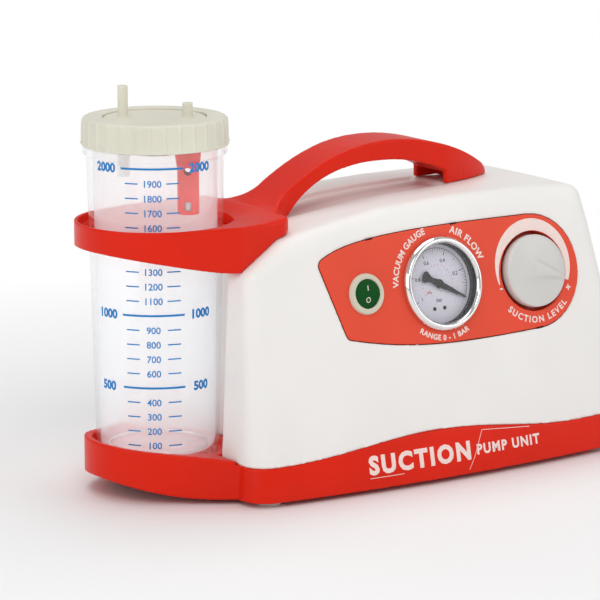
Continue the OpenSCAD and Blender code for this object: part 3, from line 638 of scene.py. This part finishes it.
def trim_to_seam(points, normals, level, side):
    """Pulls the vertices of a seam edge onto the seam itself, so that its line is clean."""
    x, y, z = (points / MM).T
    wanted = seam_height(x) + level
    on_edge = (normals[:, 2] * side > 0.55) & (np.abs(z - wanted) < 1.4)
    points[:, 2] = np.where(on_edge, wanted, z) * MM


def trim_housing(points, normals):
    trim_to_seam(points, normals, 0.2, -1)


def trim_tray(points, normals):
    trim_to_seam(points, normals, 0.0, 1)


housing = moulding("housing_shell", "housing", 0.9, 7, 0.3, "housing_white", scoop_roof, trim_housing)
tray = moulding("tray_shell", "base_tray", 0.8, 5, 0.3, "signal_red", trim=trim_tray)
moulding("handle_and_ring", "carry_handle", 0.7, 6, 0.4, "signal_red", dish_collar, zone=arch_root)
moulding("panel_plate", "control_panel", 0.5, 2, 0.3, "panel_red")
moulding("cage_shell", "float_cage", 0.4, 2, 0.6, "cage_red")
moulding("lid_plate", "lid_disc", 0.5, 2, 0.5, "lid_ivory")
rocker = moulding("rocker_cap", "switch_rocker", 0.25, 3, 0.6, "rocker_green")


# ---------------------------------------------------------------- jar and lid
JAR_WALL = 2.2
jar_place = Matrix.Translation(Vector((jar_axis.x, jar_axis.y, 0)))
jar_foot = jar_low.z / MM
jar_top = jar_high.z / MM
shoulder = jar_top - 9.5
foot_r, neck_r, flange_r, mouth_r = 36.0, 40.0, 42.0, 38.5


def jar_radius(z):
    """Outer radius of the jar's leaning wall at height z."""
    low, high = jar_foot + 4, shoulder - 6
    return foot_r + (neck_r - foot_r) * (z - low) / (high - low)


jar_outline = filleted([
    (0, jar_foot + 2.2, 0), (26, jar_foot + 2.2, 2), (29.5, jar_foot, 1.5), (foot_r - 1.2, jar_foot, 4.5),
    (foot_r, jar_foot + 6, 3), (neck_r, shoulder - 6, 0.8), (flange_r, shoulder - 4.6, 0.8),
    (flange_r, shoulder - 0.5, 0.5), (mouth_r, shoulder - 0.5, 0.5), (mouth_r, jar_top, 0.6),
    (mouth_r - JAR_WALL, jar_top, 0.6), (mouth_r - JAR_WALL, shoulder - 8, 2),
    (foot_r - JAR_WALL, jar_foot + 7, 4), (31, jar_foot + 3.4, 2), (27, jar_foot + 5, 2),
    (0, jar_foot + 5, 0),
])
turned_piece("jar_shell", jar_outline, jar_place, 160, "jar", "jar_clear", ("collection_jar",))

step_outline = filleted([
    (28.2, jar_foot + 5, 0.1), (29.2, jar_foot + 5, 0.1),
    (29.2, jar_foot + 6.2, 0.3), (28.2, jar_foot + 6.2, 0.3),
])
turned_piece("jar_base_step", step_outline, jar_place, 96, "jar", "tube_clear")

RIBS, RIB_HIGH, RIB_HALF = 30, 0.85, 0.7
lid_low, lid_high = (corner.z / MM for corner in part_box("lid_ring"))
ring_r = 42.1


def ribbed(turn, r, z):
    """Narrow upright ribs on the ring's outer face only."""
    if r < ring_r - 1.5 or z < lid_low + 0.8:
        return 0
    near = abs((turn * RIBS / (2 * math.pi)) % 1 - 0.5) * 2 * math.pi * ring_r / RIBS
    fade = max(0.0, min(1.0, (lid_high - z) / 1.4))
    return RIB_HIGH * fade * math.exp(-((near / RIB_HALF) ** 2))


ring_outline = filleted([
    (mouth_r + 0.3, lid_low, 0.2), (ring_r + 0.5, lid_low, 0.4), (ring_r + 0.5, lid_low + 1.3, 0.5),
    (ring_r, lid_low + 1.8, 0.3), (ring_r - 0.2, lid_low + 4, 0), (ring_r - 0.25, lid_low + 8, 0),
    (ring_r - 0.3, lid_low + 11, 0), (ring_r - 0.5, lid_high - 3, 0), (ring_r - 0.9, lid_high - 0.4, 1.6),
    (ring_r - 4.5, lid_high, 1.5), (30.3, lid_high, 0.5), (30.3, lid_high - 3, 0.3),
    (mouth_r + 0.3, lid_high - 3, 0.3),
])
turned_piece("lid_ring_ribbed", ring_outline, jar_place, RIBS * 20, "lid_ring_body", "lid_ivory",
             ("lid_ring",), ribbed)

scale_angle = math.atan2(view_dir.y, view_dir.x)


def on_jar(x, y, lift):
    """Wraps print round the jar: x along its face from the middle of the scale, y its height."""
    r = jar_radius(y) + lift
    turn = scale_angle + x / jar_radius(y)
    return Vector((jar_axis.x, jar_axis.y, 0)) + Vector((r * math.cos(turn), r * math.sin(turn), y)) * MM


LOWEST_MARK, MARK_STEP, MARKS = jar_foot + 12.0, 8.55, 20
marks = []
for number in range(1, MARKS + 1):
    z = LOWEST_MARK + MARK_STEP * (number - 1)
    text = str(100 * number)
    if number % 5 == 0:
        marks.append(bar(-18.5, z, 18.5, z, 1.25, 24))
        for side in (-1, 1):
            marks.append(moved(lettering(text, 5.2, 0.32), side * 29.5, z))
    else:
        marks.append(moved(lettering(text, 4.0, 0.1), 0, z))
        for side in (-1, 1):
            marks.append(bar(side * 8.2, z, side * 16.0, z, 0.75, 6))
printed("jar_scale", marks, on_jar, "jar", "print_blue", 0.1)


# ---------------------------------------------------------------- gauge
bezel_r = 28.2
bezel_outline = filleted([
    (24.4, 1.85, 0.2), (bezel_r, 1.85, 0.5), (bezel_r, 4.2, 1.2), (bezel_r - 1.6, 6.4, 1.4),
    (bezel_r - 3.2, 6.5, 1.0), (23.9, 5.0, 0.5), (23.8, 4.3, 0.1), (24.4, 4.2, 0.1),
])
turned_piece("gauge_rim", bezel_outline, gauge_place, 160, "main_body", "gauge_chrome", ("gauge_bezel",))

DIAL_LEVEL = -2.4
well_outline = filleted([
    (23.65, -2.35, 0.1), (24.15, -2.35, 0.1), (24.15, 4.15, 0.1), (23.65, 4.15, 0.1),
], 2)
turned_piece("gauge_well", well_outline, gauge_place, 128, "main_body", "gauge_black")

ZERO_ANGLE, DIAL_SWEEP = -28, 240
DIAL_R = 21.3


def on_dial(share, radius):
    """Point on the dial at a share of the pointer's swing."""
    turn = math.radians(ZERO_ANGLE + DIAL_SWEEP * share)
    return radius * math.cos(turn), radius * math.sin(turn)


def tick(share, inner, outer, width):
    return bar(*on_dial(share, inner), *on_dial(share, outer), width, 1)


dial_print = []
for i in range(51):
    inner = 17.6 if i % 10 == 0 else (18.6 if i % 5 == 0 else 19.6)
    dial_print.append(tick(i / 50, inner, DIAL_R, 0.42 if i % 10 == 0 else 0.22))
for i in range(6):
    text = f"{i / 5:g}" if i % 5 else str(i // 5)
    dial_print.append(moved(lettering(text, 2.3, 0.05), *on_dial(i / 5, 14.6)))
rim_angles = [ZERO_ANGLE + DIAL_SWEEP * i / 80 for i in range(81)]
dial_print.append(band(rim_angles, lambda a: DIAL_R, lambda a: DIAL_R + 0.3))
dial_print.append(moved(lettering("bar", 2.4, 0.05), 0, -9.5))
dial_red = [tick(i / 20, 10.6, 11.8, 0.22) for i in range(21)]
dial_red.append(moved(lettering("kPa", 1.8, 0.04), -6.5, -4.5))
printed("dial_marks", dial_print, flat_on(gauge_place, DIAL_LEVEL), "main_body", "print_black", 0.06)
printed("dial_red_marks", dial_red, flat_on(gauge_place, DIAL_LEVEL), "main_body", "print_red", 0.06)

POINTER_LEVEL = -1.0
upper_side = [(21.2, 0.3), (12, 1.1), (3.0, 1.8), (0, 2.6), (-3.2, 1.9), (-6.4, 1.5), (-8.6, 2.6),
              (-10.6, 3.7), (-12.2, 3.0)]
pointer_shape = [(-12.6, 0)] + [(x, -y) for x, y in reversed(upper_side)] + upper_side
pointer_place = gauge_place @ Matrix.Rotation(math.radians(ZERO_ANGLE), 4, "Z")
pointer_blade = filleted([(x, y, 1.0) for x, y in pointer_shape], 3)
printed("pointer_blade", [(pointer_blade, [tuple(range(len(pointer_blade)))])],
        flat_on(pointer_place, POINTER_LEVEL), "pointer", "pointer_black", 0.7)
hub_outline = filleted([
    (0, 0, 0), (2.7, 0, 0.1), (2.7, 1.3, 0.5), (1.1, 1.7, 0.3), (1.0, 2.3, 0.3), (0, 2.4, 0),
])
hub_place = pointer_place @ Matrix.Translation(Vector((0, 0, POINTER_LEVEL)) * MM)
turned_piece("pointer_hub", hub_outline, hub_place, 48, "pointer", "pointer_black", ("gauge_pointer",))

screw_outline = filleted([(0, 0, 0), (1.15, 0, 0.1), (1.15, 0.5, 0.3), (0, 0.7, 0)])
for number, x in ((1, -4.2), (2, 3.2)):
    spot = gauge_place @ Matrix.Translation(Vector((x, -14.6, DIAL_LEVEL)) * MM)
    turned_piece(f"dial_screw_{number}", screw_outline, spot, 24, "main_body", "pointer_black")


# ---------------------------------------------------------------- knob
KNOB_R, KNOB_FOOT = 22.0, -2.5
KNOB_REST = -18  # where the grip points at rest, in degrees
SCALE_END = KNOB_REST + 210


def knob_height(x, y):
    """Domed face with a wedge-shaped grip that narrows to the pointing end."""
    rho = math.hypot(x, y) / KNOB_R
    dome = 4.6 + 3.6 * math.sqrt(max(0.0, 1 - rho ** 2.6))
    along = max(0.0, min(1.0, (x + 12) / 33))
    half = 0.9 + 7.0 * (1 - along) ** 1.3
    grip = 2.9 / (1 + (abs(y) / half) ** 5) * (1 - 0.5 * rho ** 3)
    start = max(0.0, min(1.0, (x + 17) / 15))
    return dome + grip * min(1.0, (1 - rho) * 9) * start * start * (3 - 2 * start)


def knob_mesh():
    rings, steps = 40, 128
    bore_r, bore_top = 3.05, 5.4
    rim = filleted([(KNOB_R - 0.7, KNOB_FOOT, 0.4), (KNOB_R, 1, 0), (KNOB_R - 0.1, 4.4, 1.4)], 4, False)
    under = [(5, KNOB_FOOT), (5, 2.5), (19, 2.5), (19, KNOB_FOOT)]
    columns = []
    for i in range(steps):
        turn = 2 * math.pi * i / steps
        c, s = math.cos(turn), math.sin(turn)
        column = [(bore_r * c, bore_r * s, bore_top), (bore_r * c, bore_r * s, KNOB_FOOT)]
        column += [(r * c, r * s, z) for r, z in under + rim]
        for k in range(rings - 1, -1, -1):
            r = (KNOB_R - 0.35) * math.sin(k / (rings - 1) * math.pi / 2)
            column.append((r * c, r * s, knob_height(r * c, r * s)))
        columns.append(column)
    count = len(columns[0])
    points = [p for column in columns for p in column] + [(0, 0, bore_top)]
    faces = []
    for i in range(steps):
        j = (i + 1) % steps
        for k in range(count - 1):
            faces.append((i * count + k, j * count + k, j * count + k + 1, i * count + k + 1))
        faces.append((j * count, i * count, len(points) - 1))
    turned = knob_place @ Matrix.Rotation(math.radians(KNOB_REST), 4, "Z")
    return mesh_from("knob_cap", points, faces, turned)


new_piece("knob_cap", knob_mesh(), "knob", "knob_grey", ("suction_knob",))

PANEL_LEVEL = 1.8


def scale_outer(a):
    """Outer edge of the crescent: a circle whose centre lies rise above the knob's."""
    rise, radius = 3.5, 28.3
    turn = math.radians(a)
    return rise * math.sin(turn) + math.sqrt(radius ** 2 - (rise * math.cos(turn)) ** 2)


def scale_inner(a):
    """Inner edge of the crescent, which is thin at the scale's end and widens down to the well's rim."""
    return max(24.5, scale_outer(a) - 0.8 - 0.09 * max(0, SCALE_END - a))


def at_knob(shape, angle, radius):
    turn = math.radians(angle)
    return moved(shape, radius * math.cos(turn), radius * math.sin(turn))


plus_strokes = ((-1.8, 0, -0.45, 0), (0.45, 0, 1.8, 0), (0, -1.8, 0, 1.8))
knob_print = [
    band(np.linspace(KNOB_REST, SCALE_END, 91).tolist(), scale_inner, scale_outer),
    arched(lettering("SUCTION LEVEL", 3.9, 0.16, 1.26), 29.3, 270, True),
    *(at_knob(bar(*stroke, 0.9, 1), KNOB_REST - 9, 28.0) for stroke in plus_strokes),
    at_knob(bar(-1.1, 0, 1.1, 0, 0.9, 1), SCALE_END + 6, 26.8),
]
gauge_print = [
    arched(lettering("VACUUM GAUGE", 3.9, 0.16, 1.02), 33.4, 141),
    arched(lettering("AIR FLOW", 4.3, 0.18, 1.1), 33.4, 46),
    arched(lettering("RANGE 0 - 1 BAR", 3.2, 0.14, 1.1), 32.0, 266, True),
]
printed("knob_print", knob_print, flat_on(knob_place, PANEL_LEVEL), "main_body", "print_white")
printed("gauge_print", gauge_print, flat_on(gauge_place, PANEL_LEVEL), "main_body", "print_white")


# ---------------------------------------------------------------- switch
switch_outline = filleted([
    (8.9, -6, 0), (9.6, -6, 0), (9.6, PANEL_LEVEL - 0.1, 0), (9.6, PANEL_LEVEL + 0.05, 0),
    (12.2, PANEL_LEVEL + 0.05, 0.3), (12.1, PANEL_LEVEL + 1.0, 0.7), (10.9, PANEL_LEVEL + 2.2, 0.8),
    (9.2, PANEL_LEVEL + 2.1, 0.4), (8.9, PANEL_LEVEL + 1.2, 0.3),
])
turned_piece("switch_rim", switch_outline, switch_place, 96, "main_body", "bezel_beige")


def surface_print(target, place):
    """Mapping that drops print straight down a local frame's Z onto another piece's surface."""
    tree = BVHTree.FromObject(target, bpy.context.evaluated_depsgraph_get())
    down = -(place.to_3x3() @ Vector((0, 0, 1)))

    def onto(x, y, lift):
        start = place @ (Vector((x, y, 40)) * MM)
        hit = tree.ray_cast(start, down)[0]
        if hit is None:
            return place @ (Vector((x, y, lift)) * MM)
        return hit - down * lift * MM
    return onto


bpy.context.view_layer.update()
rocker_marks = [moved(bar(0, -1.5, 0, 1.5, 0.55, 4), 0, 3.4),
                moved(band([360 * i / 24 for i in range(25)], lambda a: 1.15, lambda a: 1.6), 0, -3.6)]
printed("rocker_marks", rocker_marks, surface_print(rocker, switch_place), "rocker", "print_white", 0.08)


# ---------------------------------------------------------------- panel joint, with painted shade round the panel and in its clip slots
def panel_edge(grow):
    """Outline of the panel's face in the knob's local frame, grown outwards."""
    into = knob_place.inverted()
    flat = [(into @ v.co) / MM for v in frame["nodes"]["control_panel"].data.vertices]
    flat = [p.to_2d() for p in flat if abs(p.z - PANEL_LEVEL) < 0.05]
    hull = [flat[i] for i in convex_hull_2d(flat)]
    grown = []
    for i, here in enumerate(hull):
        along = (hull[(i + 1) % len(hull)] - hull[i - 1]).normalized()
        grown.append(here + Vector((along.y, -along.x)) * grow)
    return grown


# A thin dark band printed on the housing round the panel: painted shade standing for the shadow in the joint at
# the panel's root.
inner_edge, outer_edge = panel_edge(0.0), panel_edge(0.45)
joint_shade_points = [tuple(p) for pair in zip(inner_edge, outer_edge) for p in pair]
count = len(joint_shade_points)
joint_shade_faces = [(i, i + 1, (i + 3) % count, (i + 2) % count) for i in range(0, count, 2)]
printed("panel_joint_shade", [(joint_shade_points, joint_shade_faces)], surface_print(housing, knob_place), "main_body",
        "shadow_dark", 0.15)

# Short dark bars printed along the panel's top edge: painted shade standing for the dark inside of its clip slots.
SLOTS_FROM_KNOB = (-117, -56, 0)
slot_shade_bars = []
for x in SLOTS_FROM_KNOB:
    top = max((p for p in inner_edge if abs(p.x - x) < 9), key=lambda p: -abs(p.x - x))
    slot_shade_bars.append(bar(top.x - 2.6, top.y - 0.25, top.x + 2.6, top.y + 0.1, 0.9, 2))
printed("panel_slot_shade", slot_shade_bars, flat_on(knob_place, PANEL_LEVEL), "main_body", "shadow_dark", 0.05)


# ---------------------------------------------------------------- tray lettering
tray_face = facing((0.045, tray_low.y, 0.019), (0, -1, 0))
tray_print = [finer(shape) for shape in (
    moved(lettering("SUCTION", 10.3, 0.7, 1.25), -46.4, -1.3),
    moved(lettering("PUMP UNIT", 5.8, 0.3, 1.22), 18.4, -1.8),
    bar(-82.5, -9.0, -59, -9.0, 0.35, 12),
    bar(-11.5, -13.2, -0.2, 9.0, 0.3, 14),
    bar(-0.2, 9.0, 36, 6.0, 0.3, 16),
)]
printed("tray_print", tray_print, surface_print(tray, tray_face), "main_body", "print_white", 0.1)


# ---------------------------------------------------------------- CAD nodes that stay
for node, piece in frame["nodes"].items():
    piece.data.materials.clear()
    piece.data.materials.append(finishes[node_slot[node]])
    if piece.hide_render:
        continue
    weld = piece.modifiers.new("weld", "WELD")
    weld.merge_threshold = 1e-6
    edge = piece.modifiers.new("edge", "BEVEL")
    edge.width = 0.2 * MM
    edge.segments = 2
    edge.limit_method = "ANGLE"
    edge.angle_limit = math.radians(40)
    edge.harden_normals = True


# ---------------------------------------------------------------- stage
def plain_floor():
    """Pale floor that fades into the pale surroundings away from the pump."""
    far = 6.0 / MM
    corners = [(-far, -far, 0), (far, -far, 0), (far, far, 0), (-far, far, 0)]
    mesh = mesh_from("floor", corners, [(0, 1, 2, 3)])
    floor = bpy.data.objects.new("floor", mesh)
    bpy.context.scene.collection.objects.link(floor)
    material, tree, shader = new_material("floor_pale")
    drift = add_noise(tree, 2, 2)
    base = mixed(tree, ranged(tree, drift, 0, 1), (0.86, 0.86, 0.86), (0.9, 0.9, 0.9))
    tree.links.new(base, shader.inputs["Base Color"])
    shader.inputs["Roughness"].default_value = 0.55
    place = add_node(tree, "ShaderNodeTexCoord")
    away = add_node(tree, "ShaderNodeVectorMath", operation="LENGTH")
    tree.links.new(place.outputs["Object"], away.inputs[0])
    glow = add_node(tree, "ShaderNodeEmission", Strength=1.0)
    fade = add_node(tree, "ShaderNodeMixShader")
    tree.links.new(ranged(tree, away.outputs["Value"], 0, 1, 0.20, 0.60), fade.inputs[0])
    tree.links.new(shader.outputs[0], fade.inputs[1])
    tree.links.new(glow.outputs[0], fade.inputs[2])
    tree.links.new(fade.outputs[0], tree.nodes["Material Output"].inputs["Surface"])
    mesh.materials.append(material)


def softbox(name, place, target, size, power):
    data = bpy.data.lights.new(name, "AREA")
    data.shape = "RECTANGLE"
    data.size, data.size_y = size
    data.energy = power
    lamp = bpy.data.objects.new(name, data)
    lamp.location = place
    lamp.rotation_euler = (Vector(target) - Vector(place)).to_track_quat("-Z", "Y").to_euler()
    bpy.context.scene.collection.objects.link(lamp)


def studio_world():
    """Soft light from all round, behind a background that the camera sees as white."""
    world = bpy.data.worlds.new("studio")
    world.use_nodes = True
    tree = world.node_tree
    around = tree.nodes["Background"]
    around.inputs["Color"].default_value = (1, 1, 1, 1)
    around.inputs["Strength"].default_value = 0.48
    behind = add_node(tree, "ShaderNodeBackground", Strength=1.0)
    seen = add_node(tree, "ShaderNodeLightPath")
    either = add_node(tree, "ShaderNodeMixShader")
    tree.links.new(seen.outputs["Is Camera Ray"], either.inputs[0])
    tree.links.new(around.outputs[0], either.inputs[1])
    tree.links.new(behind.outputs[0], either.inputs[2])
    tree.links.new(either.outputs[0], tree.nodes["World Output"].inputs["Surface"])
    bpy.context.scene.world = world
    bpy.context.scene.view_settings.view_transform = "Standard"


def view_camera():
    """Camera on view_dir, shifted so that the pump's right end leaves the frame."""
    target, distance = Vector((0, 0, 0.080)), 2.150
    data = bpy.data.cameras.new("camera")
    data.sensor_width = 36
    data.lens = 212.9
    data.shift_x, data.shift_y = -0.0617, 0.0475
    camera = bpy.data.objects.new("camera", data)
    camera.location = target + view_dir.normalized() * distance
    camera.rotation_euler = (-view_dir).to_track_quat("-Z", "Y").to_euler()
    bpy.context.scene.collection.objects.link(camera)
    bpy.context.scene.camera = camera


plain_floor()
softbox("key", (-1.1, -1.5, 1.7), (0, 0, 0.1), (1.2, 1.2), 16)
softbox("fill", (1.6, -1.6, 1.0), (0, 0, 0.1), (1.4, 1.4), 9)
softbox("left", (-2.0, -0.5, 0.7), (-0.1, 0, 0.1), (1.0, 1.0), 6)
softbox("top", (0.1, 0.5, 2.0), (0, 0, 0.1), (1.6, 1.2), 13)
studio_world()
view_camera()
